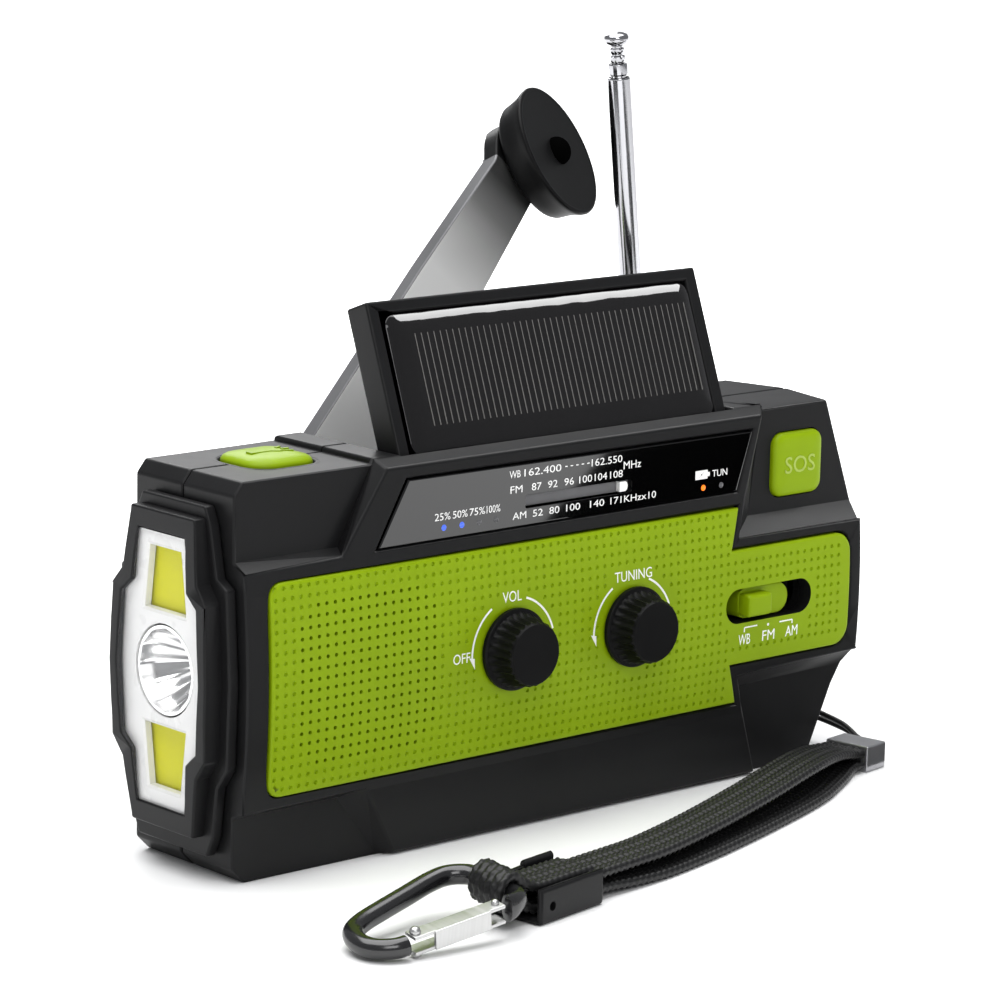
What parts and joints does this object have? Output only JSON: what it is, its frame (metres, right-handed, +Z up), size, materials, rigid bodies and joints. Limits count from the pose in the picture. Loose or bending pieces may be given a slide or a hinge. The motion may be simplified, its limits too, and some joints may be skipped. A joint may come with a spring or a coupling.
{
  "type": "emergency radio",
  "caption": "Hand-crank and solar emergency radio with end torch, tilting solar panel, telescopic antenna and a webbing strap with a carabiner.",
  "frame": {"origin": "middle of the case's flat underside, where it stands on the table", "axes": "+X along the case towards the end with the emergency button, torch at -X; +Y to the back, the dial faces -Y; +Z up"},
  "size_m": [0.1764, 0.1154, 0.1505],
  "materials": {
    "shell_black": "satin moulded",
    "knob_black": "satin moulded",
    "crank_black": "semi-gloss",
    "green_plastic": "semi-gloss",
    "window_gloss": "gloss",
    "solar_cell": "gloss",
    "pointer_white": "satin",
    "white_plastic": "semi-gloss",
    "lens_clear": "clear",
    "cup_chrome": "mirror",
    "antenna_chrome": "polished",
    "led_yellow": "satin",
    "steel": "satin",
    "cone_black": "dull",
    "board_green": "satin",
    "battery_wrap": "semi-gloss",
    "ferrite_grey": "dull",
    "cover_rubber": "dull",
    "gear_plastic": "satin",
    "strap_cloth": "woven",
    "clip_metal": "satin",
    "carabiner_black": "gloss",
    "gate_silver": "polished"
  },
  "bodies": {
    "case": {"antenna_base": "antenna_chrome", "band_switch": "knob_black", "battery": "battery_wrap", "carabiner_body": "carabiner_black", "cob_led_bottom": "led_yellow", "cob_led_top": "led_yellow", "cover_screw_1": "steel", "cover_screw_2": "steel", "cover_screw_3": "steel", "cover_screw_4": "steel", "dial_window": "window_gloss", "ferrite_rod": "ferrite_grey", "front_cover": "shell_black", "generator": "steel", "grille": "green_plastic", "lanyard_cord": "strap_cloth", "main_board": "board_green", "rear_cover": "shell_black", "siren": "knob_black", "speaker_basket": "steel", "speaker_cone": "cone_black", "speaker_magnet": "knob_black", "strap_band_lower": "strap_cloth", "strap_band_upper": "strap_cloth", "strap_clip": "clip_metal", "strap_lock": "shell_black", "strap_loop": "strap_cloth", "torch_bezel": "shell_black", "torch_cup": "cup_chrome", "torch_led": "led_yellow", "torch_lens": "lens_clear", "torch_reflector_plate": "white_plastic", "tuning_capacitor": "white_plastic", "usb_socket": "steel", "volume_control": "steel"},
    "volume": {"volume_knob": "knob_black", "volume_shaft": "steel"},
    "tuning": {"tuning_knob": "knob_black", "tuning_shaft": "steel"},
    "pointer": {"dial_pointer": "pointer_white"},
    "slider": {"band_slider": "green_plastic"},
    "sos": {"sos_button": "green_plastic"},
    "torch_switch": {"torch_button": "green_plastic"},
    "port_flap": {"port_cover": "cover_rubber"},
    "crank": {"crank_hub": "crank_black", "drive_gear": "gear_plastic"},
    "crank_arm": {"crank_arm": "crank_black", "crank_fold_pin": "steel", "crank_knob_pin": "crank_black"},
    "crank_grip": {"crank_knob": "crank_black"},
    "idler": {"idler_gear": "gear_plastic"},
    "rotor": {"generator_pinion": "gear_plastic"},
    "solar": {"solar_frame": "shell_black", "solar_cell": "solar_cell", "reading_lamp": "white_plastic"},
    "antenna_1": {"antenna_section_1": "antenna_chrome"},
    "antenna_2": {"antenna_section_2": "antenna_chrome"},
    "antenna_3": {"antenna_section_3": "antenna_chrome"},
    "gate": {"carabiner_gate": "gate_silver"}
  },
  "joints": [
    {"name": "volume_turn", "type": "hinge", "parent": "case", "child": "volume", "pos_m": [-0.0169, -0.018, 0.037], "axis": [0, -1, 0], "range_deg": [-270, 30]},
    {"name": "tuning_turn", "type": "hinge", "parent": "case", "child": "tuning", "pos_m": [0.015, -0.018, 0.037], "axis": [0, -1, 0], "range_deg": [-300, 8]},
    {"name": "pointer_slide", "type": "slide", "parent": "case", "child": "pointer", "axis": [1, 0, 0], "range_m": [-0.02252, 0.00062]},
    {"name": "band_select", "type": "slide", "parent": "case", "child": "slider", "axis": [1, 0, 0], "range_m": [-0.0031, 0.0031]},
    {"name": "sos_press", "type": "slide", "parent": "case", "child": "sos", "axis": [0, 1, 0], "range_m": [0, 0.0012], "stiffness_N_per_m": 600, "springref_m": -0.0005},
    {"name": "torch_press", "type": "slide", "parent": "case", "child": "torch_switch", "axis": [0, 0, -1], "range_m": [0, 0.0012], "stiffness_N_per_m": 600, "springref_m": -0.0005},
    {"name": "port_cover_open", "type": "hinge", "parent": "case", "child": "port_flap", "pos_m": [0.059, 0.018, 0.0234], "axis": [-1, 0, 0], "range_deg": [0, 100]},
    {"name": "crank_turn", "type": "hinge", "parent": "case", "child": "crank", "pos_m": [-0.0295, 0.0254, 0.052], "axis": [0, 1, 0], "continuous": true},
    {"name": "crank_fold", "type": "hinge", "parent": "crank", "child": "crank_arm", "pos_m": [-0.0295, 0.0328, 0.052], "axis": [-0.7705, 0, 0.6374], "range_deg": [0, 180]},
    {"name": "crank_knob_turn", "type": "hinge", "parent": "crank_arm", "child": "crank_grip", "pos_m": [0.0349, 0.03581, 0.122], "axis": [0.3836, -0.7986, 0.4637], "continuous": true},
    {"name": "idler_turn", "type": "hinge", "parent": "case", "child": "idler", "pos_m": [-0.0172, 0.008, 0.0397], "axis": [0, 1, 0], "continuous": true},
    {"name": "rotor_turn", "type": "hinge", "parent": "case", "child": "rotor", "pos_m": [-0.0072, 0.008, 0.0293], "axis": [0, 1, 0], "continuous": true},
    {"name": "solar_tilt", "type": "hinge", "parent": "case", "child": "solar", "pos_m": [0, -0.0115, 0.0737], "axis": [1, 0, 0], "range_deg": [-69.5, 20]},
    {"name": "antenna_fold", "type": "hinge", "parent": "case", "child": "antenna_1", "pos_m": [0.0524, 0.019, 0.065], "axis": [0, 1, 0], "range_deg": [-83.6, 60]},
    {"name": "antenna_draw_1", "type": "slide", "parent": "antenna_1", "child": "antenna_2", "axis": [-0.1115, 0, 0.9938], "range_m": [0, 0.058]},
    {"name": "antenna_draw_2", "type": "slide", "parent": "antenna_2", "child": "antenna_3", "axis": [-0.1115, 0, 0.9938], "range_m": [0, 0.06]},
    {"name": "gate_open", "type": "hinge", "parent": "case", "child": "gate", "pos_m": [-0.06444, -0.07081, 0.00546], "axis": [0.1466, 0.0985, -0.9843], "range_deg": [0, 22], "stiffness_Nm_per_rad": 0.02, "springref_deg": -5.73}
  ],
  "couplings": [
    {"joint": "pointer_slide", "follows": "tuning_turn", "m_per_rad": 0.004297},
    {"joint": "idler_turn", "follows": "crank_turn", "ratio": -2.8},
    {"joint": "rotor_turn", "follows": "crank_turn", "ratio": 8.4}
  ]
}
